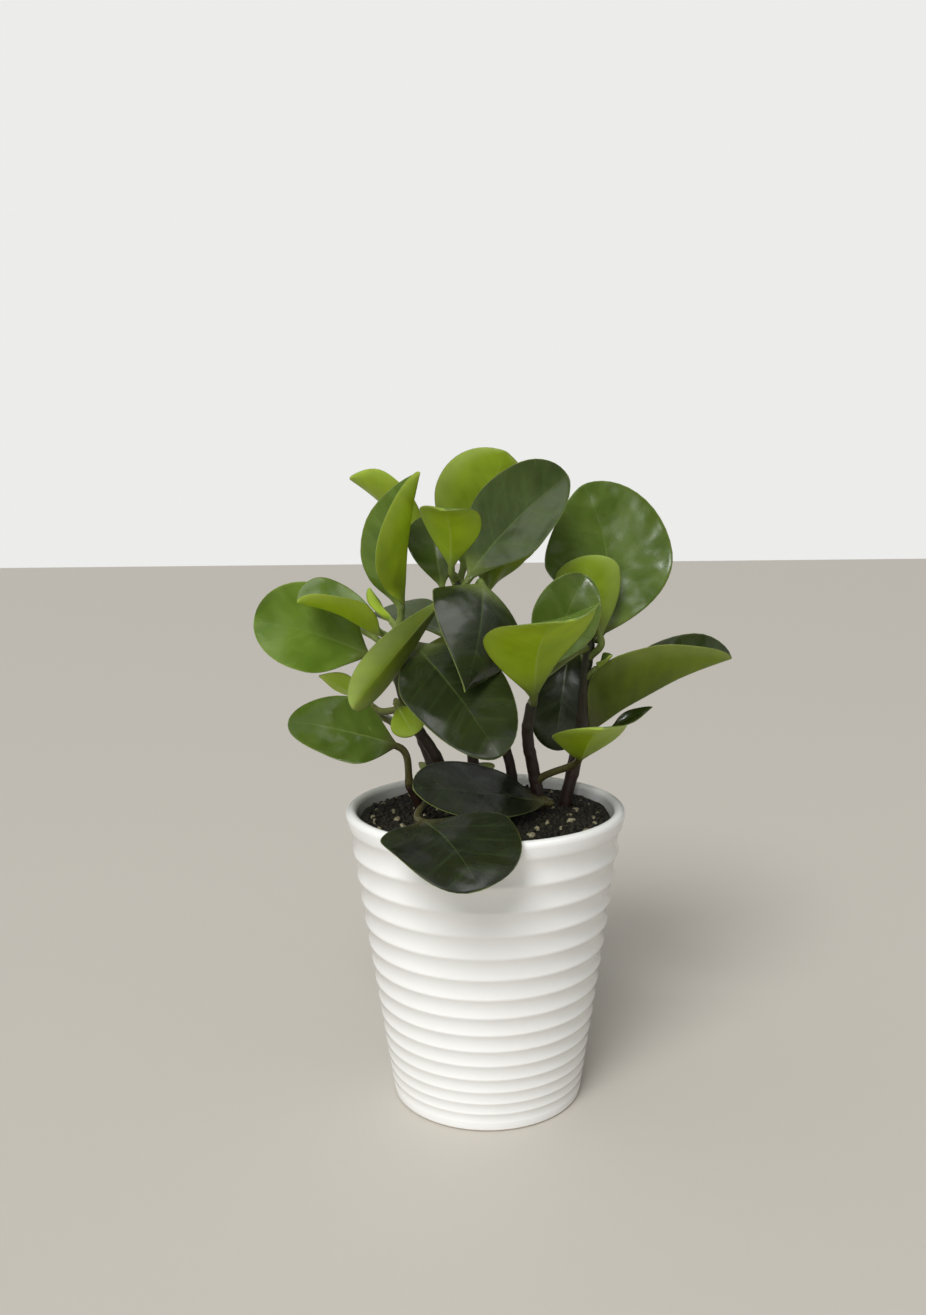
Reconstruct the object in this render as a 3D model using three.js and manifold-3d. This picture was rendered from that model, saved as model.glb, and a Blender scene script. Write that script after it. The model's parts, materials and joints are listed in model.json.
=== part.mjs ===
// A potted peperomia: a ribbed, glazed pot filled with soil, the plant's stems standing in the
// soil, and its thick oval leaves, each in one piece with its own stalk.
// Millimetres, +Z up, front towards -Y. The origin is the middle of the pot's flat foot.
import * as THREE from 'three';
import { mergeVertices } from 'three/addons/utils/BufferGeometryUtils.js';
import Module from 'manifold-3d';

// Driving dimensions of the pot
const POT_HEIGHT = 132;
const RIM_RADIUS = 62.5;
const FOOT_RADIUS = 42.7;
const FOOT_ROUNDING = 1.2;
const WALL = 5.2;
const FLOOR = 6;
const RIM_BAND = 7.3;
const RIM_ROUNDING = 2.6;
const RIB_COUNT = 16;
const FIRST_PITCH = 11.6;
const LAST_PITCH = 4;
const FIRST_COVE_DEPTH = 1.5;
const LAST_COVE_DEPTH = 0.6;
const RIM_STEPS = 6;
const POT_SIDES = 32;
// Points of each cove, as shares of its pitch down from the crest and of its depth
const COVE_POINTS = [[0, 0], [0.2, 1], [0.6, 0.7]];

// Driving dimensions of the soil
const SOIL_LEVEL = 128;
const SOIL_SLUMP = 1.5;
const SOIL_UNEVENNESS = 1.1;
const SOIL_SIDES = 28;
const SOIL_RINGS = [1, 0.92, 0.78, 0.6, 0.4, 0.2];
const SOIL_EDGE_GAP = 0.9;
const GRAIN_COUNT = 24;
const GRAIN_RADIUS = 1.8;
const GRAIN_REACH = 53;
const CHANCE_SEED = 11;

// Driving dimensions of the plant
const GAP = 0.3;
const STEM_SIDES = 8;
const STEM_FOOT = 104;
const STEM_TOP_SHARE = 0.6;
const STALK_RADIUS = 1.6;
const STALK_BEND = 0.35;
const STALK_LIFT = 0.4;
const BLADE_THICKNESS = 1.3;
const BLADE_START = 0.22;
const USUAL_WIDEST = 0.56;
const USUAL_TAPER = 0.5;
const SHOULDER = 1.15;
const FOLD_CURVE = 1.3;
const KEEL_FADE = 1.5;
const EDGE_WAVE = 0.7;
const EDGE_WAVE_TURNS = 9;
const RING_SIDES = 8;
// Where the rings of a leaf lie, as shares of the stalk and of the blade
const STALK_STEPS = [0, 0.25, 0.5, 0.75];
const BLADE_STEPS = [0, 0.07, 0.16, 0.28, 0.42, 0.56, 0.7, 0.82, 0.91, 0.97, 0.995];

// Each stem: the points of its middle line from the soil up, and its radius at its foot and its top
const STEMS = {
  left: {
    path: [[-15, 4, SOIL_LEVEL], [-21, 0, 152], [-31, -4, 170], [-37, -6, 188], [-38, -5, 212]],
    radius: [2.9, 2.2],
  },
  middle: {
    path: [[14, 9, SOIL_LEVEL], [10, 8, 154], [0, 10, 174], [-7, 10, 200], [-12, 6, 233]],
    radius: [2.5, 2.1],
  },
  fork: {
    path: [[25, 2, SOIL_LEVEL], [22, 2, 146], [19, -2, 164], [21, -6, 180]],
    radius: [3, 2.5],
  },
  right: {
    path: [[37, 12, SOIL_LEVEL], [42, 12, 149], [45, 10, 171], [46, 8, 191], [48, 6, 206]],
    radius: [3.1, 2.3],
  },
  low: {
    path: [[-29, -2, SOIL_LEVEL], [-31, -4, 136], [-34, -7, 144]],
    radius: [2.3, 2],
  },
  back: {
    path: [[-4, 30, SOIL_LEVEL], [-6, 34, 158], [-8, 36, 186], [-6, 36, 214]],
    radius: [3, 2.2],
  },
  back_left: {
    path: [[-20, 26, SOIL_LEVEL], [-27, 29, 150], [-35, 32, 172], [-39, 34, 194]],
    radius: [2.8, 2.1],
  },
  back_right: {
    path: [[40, 30, SOIL_LEVEL], [44, 33, 150], [48, 36, 172], [50, 38, 198]],
    radius: [2.8, 2.1],
  },
};

// Each leaf: the stem it grows on and how far up, the foot and the tip of its blade, the way its
// upper side faces, its width, how far in degrees its halves fold up from the midrib, and its bow
// along the midrib. Some are swept sideways, twisted by some degrees from foot to tip, widest at a
// place of their own, or drawn out to a point by a taper.
const LEAVES = {
  leaf_01: {
    on: ['middle', 0.97], foot: [-25, 31, 246], tip: [-61, 36, 279],
    faces: [6, 3.5, 7], width: 46, fold: 12, bow: 3, taper: 0.9,
  },
  leaf_02: {
    on: ['left', 1], foot: [-36, -6, 218], tip: [-27, -14, 279],
    faces: [-8.3, -5.6, 1.5], width: 41, fold: 53, bow: 2, widest: 0.4, twist: -24, taper: 0.8,
  },
  leaf_03: {
    on: ['middle', 0.88], foot: [-9, 18, 236], tip: [11, 34, 290],
    faces: [-3, 9, 0], width: 50, fold: 10, bow: 0,
  },
  leaf_04: {
    on: ['middle', 0.93], foot: [-7, 2, 232], tip: [37, -2, 277],
    faces: [-4, -8, 4], width: 45, fold: 14, bow: -2, sweep: 5, widest: 0.53,
  },
  leaf_05: {
    on: ['middle', 1], foot: [-14, -1, 237], tip: [-17, -36, 263],
    faces: [3, 10, 10], width: 27, fold: 10, bow: 7,
  },
  leaf_06: {
    on: ['middle', 0.78], foot: [-18, 6, 228], tip: [-24, 7, 261],
    faces: [0, -10, 4], width: 24, fold: 10, bow: 2, widest: 0.7,
  },
  leaf_07: {
    on: ['middle', 0.7], foot: [1, 8, 226], tip: [27, 16, 254],
    faces: [-8, 12, 5], width: 18, fold: 10, bow: 2, sweep: -2,
  },
  leaf_08: {
    on: ['right', 1], foot: [52, 13, 205], tip: [46, 24, 274],
    faces: [0, -10, 2], width: 59, fold: 8, bow: -3, sweep: -8, widest: 0.5, taper: 0.6,
  },
  leaf_09: {
    on: ['right', 0.86], foot: [52, 2, 205], tip: [45, 12, 242],
    faces: [0, 10, 4], width: 30, fold: 8, bow: 2, widest: 0.78,
  },
  leaf_10: {
    on: ['right', 0.94], foot: [25, -9, 193], tip: [43, -10, 235],
    faces: [0, -10, 2], width: 29, fold: 8, bow: 0, widest: 0.55,
  },
  leaf_11: {
    on: ['fork', 0.98], foot: [21, -15, 181], tip: [31.5, -71, 221],
    faces: [-3.5, 6, 8], width: 49, fold: 8, bow: 12,
  },
  leaf_12: {
    on: ['middle', 0.78], foot: [-1, -5, 231], tip: [-9, -47, 190],
    faces: [6, -10, 10], width: 46, fold: -8, bow: 4, widest: 0.3, taper: 1.1, sweep: 1, twist: -30,
  },
  leaf_13: {
    on: ['left', 0.76], foot: [-32, -10, 207], tip: [5, -50, 164],
    faces: [5, -15, 8], width: 45, fold: 8, bow: 4, widest: 0.46,
  },
  leaf_14: {
    on: ['middle', 0.84], foot: [-17, -7, 226], tip: [-53, -58, 186],
    faces: [-8, 12, -2], width: 18, fold: 22, bow: 2, widest: 0.62,
  },
  leaf_15: {
    on: ['left', 0.72], foot: [-50, 0, 199], tip: [-99, -12, 216],
    faces: [0, -10, 6], width: 44, fold: 17, bow: 2, sweep: -2,
  },
  leaf_16: {
    on: ['left', 0.8], foot: [-43, -5, 209], tip: [-79, -20, 225],
    faces: [2, -1.5, 10], width: 36, fold: 36, bow: 2,
  },
  leaf_17: {
    on: ['low', 0.9], foot: [-38, -12, 161], tip: [-84, -22, 174],
    faces: [0, -10, 10], width: 33, fold: 8, bow: 3, widest: 0.42,
  },
  leaf_18: {
    on: ['left', 0.58], foot: [-50, 8, 175], tip: [-75, 14, 189],
    faces: [0, 10, 10], width: 15, fold: 8, bow: 2, taper: 0.8,
  },
  leaf_19: {
    on: ['left', 0.4], foot: [-38, -10, 179], tip: [-31, -12, 166],
    faces: [0, 10, 0], width: 16, fold: 8, bow: 1,
  },
  leaf_20: {
    on: ['right', 0.3], foot: [46, 16, 161], tip: [110, 2, 197],
    faces: [-4, 5.5, 10], width: 55, fold: 46, bow: 3, widest: 0.36, twist: 30,
  },
  leaf_21: {
    on: ['fork', 0.25], foot: [41, -10, 154], tip: [46, -46, 175],
    faces: [-2, 10, 20], width: 32, fold: 8, bow: 2,
  },
  leaf_22: {
    on: ['back_right', 0.32], foot: [58, 24, 160], tip: [79, 24, 171],
    faces: [0, -10, 10], width: 7, fold: 20, bow: 1, taper: 1,
  },
  leaf_23: {
    on: ['right', 0.84], foot: [41, 28, 204], tip: [33, 25, 151],
    faces: [0, -20, 10], width: 30, fold: 8, bow: 2,
  },
  leaf_24: {
    on: ['right', 0.74], foot: [50, 4, 192], tip: [56, -2, 199],
    faces: [-10, 0, 10], width: 7, fold: 30, bow: 0,
  },
  leaf_25: {
    on: ['fork', 0.1], foot: [28, -8, 134], tip: [-31, -28, 146.5],
    faces: [0, -10, 20], width: 40, fold: 6, bow: 1,
  },
  leaf_26: {
    on: ['left', 0.08], foot: [-27, -43, 136], tip: [-4, -85, 121],
    faces: [3, -8, 15], width: 57, fold: 10, bow: 5, widest: 0.45, taper: 0.38,
  },
  leaf_27: {
    on: ['back', 0.86], foot: [-10, 46, 206], tip: [-12, 82, 164],
    faces: [0, 10, 10], width: 42, fold: 8, bow: 6,
  },
  leaf_28: {
    on: ['back_right', 0.88], foot: [38, 48, 200], tip: [34, 84, 162],
    faces: [0, 10, 10], width: 34, fold: 8, bow: 6,
  },
  leaf_29: {
    on: ['back_right', 0.98], foot: [56, 46, 212], tip: [68, 78, 256],
    faces: [0, -4, 10], width: 46, fold: 12, bow: 5,
  },
  leaf_30: {
    on: ['back', 0.98], foot: [0, 42, 228], tip: [14, 68, 274],
    faces: [0, 10, 2], width: 44, fold: 12, bow: -4,
  },
  leaf_31: {
    on: ['back_left', 0.95], foot: [-51, 40, 203], tip: [-88, 64, 206],
    faces: [0, 3, 10], width: 38, fold: 12, bow: 5,
  },
  leaf_32: {
    on: ['back_left', 0.45], foot: [-44, 40, 162], tip: [-74, 64, 158],
    faces: [0, 5, 10], width: 34, fold: 10, bow: 5,
  },
  leaf_33: {
    on: ['back_right', 0.6], foot: [60, 44, 178], tip: [92, 68, 181],
    faces: [0, 3, 10], width: 40, fold: 12, bow: 4,
  },
  leaf_34: {
    on: ['back', 0.08], foot: [-12, 50, 137], tip: [-14, 88, 119],
    faces: [0, 4, 10], width: 40, fold: 8, bow: 4,
  },
  leaf_35: {
    on: ['left', 0.94], foot: [-40, 0, 214], tip: [-51, 6, 229],
    faces: [-10, 8, 4], width: 7, fold: 30, bow: 1,
  },
  leaf_36: {
    on: ['middle', 0.62], foot: [-16, 22, 205], tip: [-52, 46, 214],
    faces: [1, -3, 10], width: 34, fold: 12, bow: 4,
  },
};

const wasm = await Module();
wasm.setup();

const glaze = new THREE.MeshStandardMaterial({ color: '#f3f2ef', roughness: 0.18, metalness: 0 });
const earth = new THREE.MeshStandardMaterial({ color: '#2a221c', roughness: 0.95, metalness: 0 });
const bark = new THREE.MeshStandardMaterial({ color: '#6b4a36', roughness: 0.6, metalness: 0 });
const leafGreen = new THREE.MeshStandardMaterial({ color: '#3d5c2c', roughness: 0.35, metalness: 0 });

// The same run of chances on every run, for the unevenness of the soil
function seededRandom(seed) {
  let state = seed;
  return () => {
    state = (state * 1664525 + 1013904223) % 4294967296;
    return state / 4294967296;
  };
}

const mix = (a, b, share) => a + (b - a) * share;
const smooth = (from, to, value) => THREE.MathUtils.smoothstep(value, from, to);

// A closed body through rings of points, with a flat fan at its first ring and one at its last.
// The far half of each ring is split the other way, so both faces of a blade are split alike.
function loft(rings) {
  const sides = rings[0].length;
  const first = new THREE.Vector3();
  rings[0].forEach((p) => first.addScaledVector(p, 1 / sides));
  const last = new THREE.Vector3();
  rings.at(-1).forEach((p) => last.addScaledVector(p, 1 / sides));
  const points = [...rings.flat(), first, last];
  const faces = [];
  for (let row = 0; row < rings.length - 1; row += 1) {
    for (let k = 0; k < sides; k += 1) {
      const a = row * sides + k;
      const b = row * sides + ((k + 1) % sides);
      const c = a + sides;
      const d = b + sides;
      if (k < sides / 2) faces.push(a, b, d, a, d, c);
      else faces.push(a, b, c, b, d, c);
    }
  }
  const end = (rings.length - 1) * sides;
  for (let k = 0; k < sides; k += 1) {
    const next = (k + 1) % sides;
    faces.push(points.length - 2, next, k);
    faces.push(points.length - 1, end + k, end + next);
  }
  const geometry = new THREE.BufferGeometry();
  geometry.setAttribute('position', new THREE.Float32BufferAttribute(points.flatMap((p) => p.toArray()), 3));
  geometry.setIndex(faces);
  return geometry;
}

function toSolid(geometry) {
  const bare = geometry.clone();
  bare.deleteAttribute('normal');
  bare.deleteAttribute('uv');
  const merged = mergeVertices(bare, 1e-3);
  const vertProperties = new Float32Array(merged.attributes.position.array);
  const triVerts = new Uint32Array(merged.index.array);
  return new wasm.Manifold(new wasm.Mesh({ numProp: 3, vertProperties, triVerts }));
}

function toGeometry(solid) {
  const { vertProperties, triVerts } = solid.getMesh();
  const geometry = new THREE.BufferGeometry();
  geometry.setAttribute('position', new THREE.BufferAttribute(vertProperties, 3));
  geometry.setIndex(new THREE.BufferAttribute(triVerts, 1));
  return geometry;
}

// The pot's outside is a cone with a plain band under the rim and coved ribs below: each cove
// starts sharply under the crest above it and runs out gently to the crest below it
function coneRadius(z) {
  return mix(FOOT_RADIUS, RIM_RADIUS, z / POT_HEIGHT);
}

function cavityRadius(z) {
  return coneRadius(z) - WALL;
}

function crestHeights() {
  const heights = [POT_HEIGHT - RIM_BAND];
  for (let rib = 0; rib < RIB_COUNT; rib += 1) {
    heights.push(heights[rib] - mix(FIRST_PITCH, LAST_PITCH, rib / (RIB_COUNT - 1)));
  }
  return heights;
}

function potGeometry() {
  const point = (radius, z) => new THREE.Vector2(radius, z);
  const outside = [];
  const crests = crestHeights();
  for (let rib = 0; rib < RIB_COUNT - 1; rib += 1) {
    const top = crests[rib];
    const pitch = top - crests[rib + 1];
    const depth = mix(FIRST_COVE_DEPTH, LAST_COVE_DEPTH, rib / (RIB_COUNT - 1));
    for (const [down, inward] of COVE_POINTS) {
      const z = top - down * pitch;
      outside.push(point(coneRadius(z) - inward * depth, z));
    }
  }
  outside.push(point(coneRadius(crests[RIB_COUNT - 1]), crests[RIB_COUNT - 1]));
  outside.reverse();

  const rim = [];
  const rimMiddle = RIM_RADIUS - WALL / 2;
  for (let step = 0; step <= RIM_STEPS; step += 1) {
    const angle = (step / RIM_STEPS) * Math.PI;
    const z = POT_HEIGHT - RIM_ROUNDING * (1 - Math.sin(angle));
    rim.push(point(rimMiddle + (WALL / 2) * Math.cos(angle), z));
  }

  const profile = [
    point(0, 0),
    point(FOOT_RADIUS - FOOT_ROUNDING, 0),
    point(coneRadius(FOOT_ROUNDING), FOOT_ROUNDING),
    ...outside,
    ...rim,
    point(cavityRadius(FLOOR), FLOOR),
    point(0, FLOOR),
  ];
  return new THREE.LatheGeometry(profile, POT_SIDES).rotateX(Math.PI / 2);
}

// A run of points along a curve, with a direction and two crosswise directions at each that turn
// as little as they can
function framesAlong(points, firstUp) {
  const frames = [];
  let up = firstUp.clone();
  points.forEach((point, i) => {
    const before = points[Math.max(i - 1, 0)];
    const after = points[Math.min(i + 1, points.length - 1)];
    const along = after.clone().sub(before).normalize();
    up = up.clone().addScaledVector(along, -up.dot(along)).normalize();
    frames.push({ point, along, up, across: up.clone().cross(along) });
  });
  return frames;
}

function stemCurve(stem) {
  const path = stem.path.map((p) => new THREE.Vector3(...p));
  const foot = path[0].clone().setZ(STEM_FOOT);
  return new THREE.CatmullRomCurve3([foot, ...path]);
}

// The middle of a stem at a share of its height above the soil
function placeOnStem(stem, share) {
  const curve = stemCurve(stem);
  const buried = (stem.path[0][2] - STEM_FOOT) / curve.getLength();
  return curve.getPointAt(mix(buried, 1, share));
}

// A stem from its buried foot to its rounded top, larger all round by the given clearance
function stemGeometry(stem, clearance = 0) {
  const curve = stemCurve(stem);
  const steps = stem.path.length * 3;
  const frames = framesAlong(curve.getSpacedPoints(steps), new THREE.Vector3(0, 1, 0));
  frames[0].point.addScaledVector(frames[0].along, -clearance);
  frames[steps].point.addScaledVector(frames[steps].along, clearance);
  const rings = frames.map(({ point, up, across }, i) => {
    const rounding = i === steps ? STEM_TOP_SHARE : 1;
    const radius = mix(stem.radius[0], stem.radius[1], i / steps) * rounding + clearance;
    return Array.from({ length: STEM_SIDES }, (_, k) => {
      const angle = (k / STEM_SIDES) * 2 * Math.PI;
      return point.clone()
        .addScaledVector(across, radius * Math.cos(angle))
        .addScaledVector(up, radius * Math.sin(angle));
    });
  });
  return loft(rings);
}

// Half the blade's width at a share of its length, for a full half width of 1. A taper over the
// usual one draws the blade's end out to a point.
function outline(along, widest, taper) {
  if (along < widest) return Math.sin((Math.PI / 2) * (along / widest)) ** SHOULDER;
  return Math.max(0, 1 - ((along - widest) / (1 - widest)) ** 2) ** taper;
}

// The middle line of a blade, bowed along its length and swept sideways, and the ways that its
// upper side and its right edge face
function bladeLine(leaf) {
  const foot = new THREE.Vector3(...leaf.foot);
  const tip = new THREE.Vector3(...leaf.tip);
  const chord = tip.clone().sub(foot);
  const along = chord.clone().normalize();
  const up = new THREE.Vector3(...leaf.faces);
  up.addScaledVector(along, -up.dot(along)).normalize();
  const across = up.clone().cross(along);
  const pointAt = (share) => {
    const arc = 4 * share * (1 - share);
    return foot.clone()
      .addScaledVector(chord, share)
      .addScaledVector(up, leaf.bow * arc)
      .addScaledVector(across, (leaf.sweep ?? 0) * arc);
  };
  return { foot, up, pointAt };
}

// The middle line of a stalk, which leaves its stem rising a little and runs straight into the blade
function stalkLine(leaf, blade) {
  const start = placeOnStem(STEMS[leaf.on[0]], leaf.on[1]);
  const bend = blade.foot.distanceTo(start) * STALK_BEND;
  const intoBlade = blade.pointAt(0.02).sub(blade.foot).normalize();
  const leaving = blade.foot.clone().sub(start).normalize();
  leaving.z += STALK_LIFT;
  return new THREE.CubicBezierCurve3(
    start,
    start.clone().addScaledVector(leaving.normalize(), bend),
    blade.foot.clone().addScaledVector(intoBlade, -bend),
    blade.foot,
  );
}

// The points round a leaf at one place: a circle on the stalk, which flattens over the start of the
// blade into a thin lens. Its halves fold up from the midrib, its edge waves a little, and a keel
// under the midrib runs out towards the tip.
function leafRing(leaf, number, frame, share) {
  const flat = smooth(0, BLADE_START, share);
  const breadth = outline(share, leaf.widest ?? USUAL_WIDEST, leaf.taper ?? USUAL_TAPER);
  const halfWidth = Math.max((leaf.width / 2) * breadth, STALK_RADIUS * (1 - flat));
  const halfThickness = mix(STALK_RADIUS, BLADE_THICKNESS / 2, flat);
  const keel = flat * STALK_RADIUS * (1 - share) ** KEEL_FADE;
  const fold = THREE.MathUtils.degToRad(leaf.fold) * flat;
  return Array.from({ length: RING_SIDES }, (_, k) => {
    const angle = (k / RING_SIDES) * 2 * Math.PI;
    const side = Math.cos(angle);
    const face = Math.sin(angle);
    const phase = number * 2 + (side > 0 ? 0 : 2);
    const wave = EDGE_WAVE * flat * side ** 2 * Math.sin(share * EDGE_WAVE_TURNS + phase);
    const raise = Math.abs(side) ** FOLD_CURVE * halfWidth * Math.sin(fold) + wave;
    const under = face < 0 ? keel * (1 - Math.abs(side)) : 0;
    return frame.point.clone()
      .addScaledVector(frame.across, side * halfWidth * Math.cos(fold))
      .addScaledVector(frame.up, raise + face * (halfThickness + under));
  });
}

// A leaf with its stalk, which starts in the middle of its stem
function leafGeometry(leaf, number) {
  const blade = bladeLine(leaf);
  const stalk = stalkLine(leaf, blade);
  const bladePoints = BLADE_STEPS.map(blade.pointAt);
  const bladeFrames = framesAlong([stalk.getPoint(0.95), ...bladePoints], blade.up).slice(1);
  const stalkPoints = STALK_STEPS.map((share) => stalk.getPoint(share)).reverse();
  const stalkFrames = framesAlong([blade.foot, ...stalkPoints], bladeFrames[0].up).slice(1).reverse();
  stalkFrames.forEach((frame) => frame.across.negate());
  bladeFrames.forEach((frame, i) => {
    const turn = THREE.MathUtils.degToRad((leaf.twist ?? 0) * BLADE_STEPS[i]);
    frame.up.applyAxisAngle(frame.along, turn);
    frame.across.applyAxisAngle(frame.along, turn);
  });
  return loft([
    ...stalkFrames.map((frame) => leafRing(leaf, number, frame, 0)),
    ...bladeFrames.map((frame, i) => leafRing(leaf, number, frame, BLADE_STEPS[i])),
  ]);
}

// The soil's surface sinks a little towards the pot's wall
function soilLevel(share) {
  return SOIL_LEVEL - SOIL_SLUMP * share ** 4;
}

// Soil: a plug that fills the pot with a small gap to its wall, uneven on top, with coarse grains
// sunk in its surface and a plain hole for each stem
function soilGeometry() {
  const random = seededRandom(CHANCE_SEED);
  const ringAt = (radius, z, uneven) => Array.from({ length: SOIL_SIDES }, (_, k) => {
    const angle = (k / SOIL_SIDES) * 2 * Math.PI;
    const lift = uneven * (random() * 2 - 1);
    return new THREE.Vector3(radius * Math.cos(angle), radius * Math.sin(angle), z + lift);
  });
  const bottom = FLOOR + GAP;
  const rings = [ringAt(cavityRadius(bottom) - GAP, bottom, 0)];
  for (const share of SOIL_RINGS) {
    const radius = (cavityRadius(soilLevel(1)) - SOIL_EDGE_GAP) * share;
    rings.push(ringAt(radius, soilLevel(share), SOIL_UNEVENNESS));
  }
  let soil = toSolid(loft(rings));
  for (let grain = 0; grain < GRAIN_COUNT; grain += 1) {
    const angle = random() * 2 * Math.PI;
    const radius = GRAIN_REACH * mix(0.45, 1, Math.sqrt(random()));
    const pebble = new THREE.IcosahedronGeometry(GRAIN_RADIUS * mix(0.8, 1.3, random()), 0);
    pebble.rotateZ(random() * 2 * Math.PI);
    pebble.translate(radius * Math.cos(angle), radius * Math.sin(angle), soilLevel(radius / GRAIN_REACH));
    soil = soil.add(toSolid(pebble));
  }
  for (const stem of Object.values(STEMS)) {
    soil = soil.subtract(toSolid(stemGeometry(stem, GAP)));
  }
  return toGeometry(soil);
}

const plant = new THREE.Group();

function addMesh(name, geometry, material) {
  const mesh = new THREE.Mesh(geometry, material);
  mesh.name = name;
  plant.add(mesh);
}

addMesh('pot', potGeometry(), glaze);
addMesh('soil', soilGeometry(), earth);
for (const [name, stem] of Object.entries(STEMS)) {
  addMesh(`stem_${name}`, stemGeometry(stem), bark);
}
// Each leaf starts at the skin of its stem: what lies within the stem, or beyond it, is cut away
Object.entries(LEAVES).forEach(([name, leaf], number) => {
  const stem = toSolid(stemGeometry(STEMS[leaf.on[0]], GAP));
  const pieces = toSolid(leafGeometry(leaf, number)).subtract(stem).decompose();
  pieces.sort((one, other) => other.volume() - one.volume());
  addMesh(name, toGeometry(pieces[0]), leafGreen);
});

export default plant;
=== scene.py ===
"""The looks of a potted peperomia, built around its solids: a ribbed white pot, the soil in it, the
stems that stand in the soil and the thick, glossy leaves. Metres, +Z up, front towards -Y."""

import json
import math

import bmesh
import bpy
from mathutils import Matrix, Quaternion, Vector, noise
from mathutils.bvhtree import BVHTree

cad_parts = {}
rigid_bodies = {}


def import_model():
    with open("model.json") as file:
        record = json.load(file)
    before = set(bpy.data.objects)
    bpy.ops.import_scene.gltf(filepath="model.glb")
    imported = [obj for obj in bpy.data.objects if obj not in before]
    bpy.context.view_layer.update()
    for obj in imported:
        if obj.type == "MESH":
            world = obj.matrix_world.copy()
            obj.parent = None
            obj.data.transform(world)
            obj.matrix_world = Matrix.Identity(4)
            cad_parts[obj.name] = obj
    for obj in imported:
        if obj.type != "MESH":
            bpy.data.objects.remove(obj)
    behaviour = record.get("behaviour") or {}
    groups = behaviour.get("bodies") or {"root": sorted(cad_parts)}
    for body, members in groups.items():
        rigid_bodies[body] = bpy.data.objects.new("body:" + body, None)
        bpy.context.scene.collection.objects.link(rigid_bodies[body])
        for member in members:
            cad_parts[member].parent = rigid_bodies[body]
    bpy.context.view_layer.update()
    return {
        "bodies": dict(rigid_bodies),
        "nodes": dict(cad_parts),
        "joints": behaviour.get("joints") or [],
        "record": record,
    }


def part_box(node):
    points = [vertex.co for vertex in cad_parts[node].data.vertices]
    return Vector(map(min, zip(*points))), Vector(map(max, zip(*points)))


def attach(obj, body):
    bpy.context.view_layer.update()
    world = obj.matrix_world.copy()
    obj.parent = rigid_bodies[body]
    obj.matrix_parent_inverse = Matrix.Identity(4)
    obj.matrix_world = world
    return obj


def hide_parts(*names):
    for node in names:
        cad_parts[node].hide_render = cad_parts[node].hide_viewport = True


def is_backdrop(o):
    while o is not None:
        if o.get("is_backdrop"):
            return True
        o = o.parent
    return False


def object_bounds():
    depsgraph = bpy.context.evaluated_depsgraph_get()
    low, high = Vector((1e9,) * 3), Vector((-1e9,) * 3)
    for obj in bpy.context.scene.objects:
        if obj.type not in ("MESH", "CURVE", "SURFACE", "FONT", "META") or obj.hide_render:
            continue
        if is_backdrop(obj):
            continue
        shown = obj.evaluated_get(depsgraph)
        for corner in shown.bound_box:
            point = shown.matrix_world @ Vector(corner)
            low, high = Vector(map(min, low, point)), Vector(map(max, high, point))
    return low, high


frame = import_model()

# The camera
# It stands in front, a little above the leaves, and looks slightly down, as in the photograph.
MM = 0.001
CAMERA_PLACE = Vector((-9.3, -480.4, 259)) * MM
LOOK_DOWN = math.radians(7.2)
ROLL = math.radians(-0.58)
camera = bpy.data.objects.new("camera", bpy.data.cameras.new("camera"))
bpy.context.scene.collection.objects.link(camera)
bpy.context.scene.camera = camera
camera.data.lens = 30
camera.data.sensor_width = 36
camera.data.clip_start = 0.01
aim = Matrix.Rotation(math.pi / 2 - LOOK_DOWN, 4, "X") @ Matrix.Rotation(ROLL, 4, "Z")
camera.matrix_world = Matrix.Translation(CAMERA_PLACE) @ aim

# The floor and the light
# A plain pale floor, a soft light from the upper left in front, as from a window, and a few small
# bright panes for the leaves and the glaze to mirror. The pale room round them fills the shadows.
FLOOR_COLOUR = "#c6c1b8"
FLOOR_REACH = 6
bpy.context.scene.view_settings.view_transform = "Standard"


def colour(code):
    """The linear colour of an sRGB hex code."""
    parts = [int(code[i:i + 2], 16) / 255 for i in (1, 3, 5)]
    return [p / 12.92 if p < 0.04045 else ((p + 0.055) / 1.055) ** 2.4 for p in parts] + [1]


def connect(node, inputs):
    """Sets or links a node's inputs. One may be a value, a hex code, a socket, or a node, for the
    first output that it has in use. Where inputs share a name they go by number: 1 to 4 are the
    ends of a Map Range, 2 and 3 the numbers of a Mix, and 6 and 7 its colours."""
    for key, value in inputs.items():
        if isinstance(value, bpy.types.Node):
            value = next(output for output in value.outputs if output.enabled)
        if isinstance(value, str) and value[0] == "#":
            value = colour(value)
        if isinstance(value, bpy.types.NodeSocket):
            node.id_data.links.new(value, node.inputs[key])
        else:
            node.inputs[key].default_value = value


def add_node(tree, kind, inputs=None, **settings):
    """Adds a node with its settings and links. A kind without Node in its name is a shader's."""
    node = tree.nodes.new(kind if "Node" in kind else "ShaderNode" + kind)
    for name, value in settings.items():
        setattr(node, name, value)
    connect(node, inputs or {})
    return node


def new_material(name):
    """A material, its tree, and the shader that its surface shows."""
    material = bpy.data.materials.new(name)
    material.use_nodes = True
    tree = material.node_tree
    tree.nodes.clear()
    shader = add_node(tree, "BsdfPrincipled")
    add_node(tree, "OutputMaterial", {"Surface": shader})
    return material, tree, shader


floor_material, tree, shader = new_material("pale painted floor")
connect(shader, {"Base Color": FLOOR_COLOUR, "Roughness": 0.7})

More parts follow.
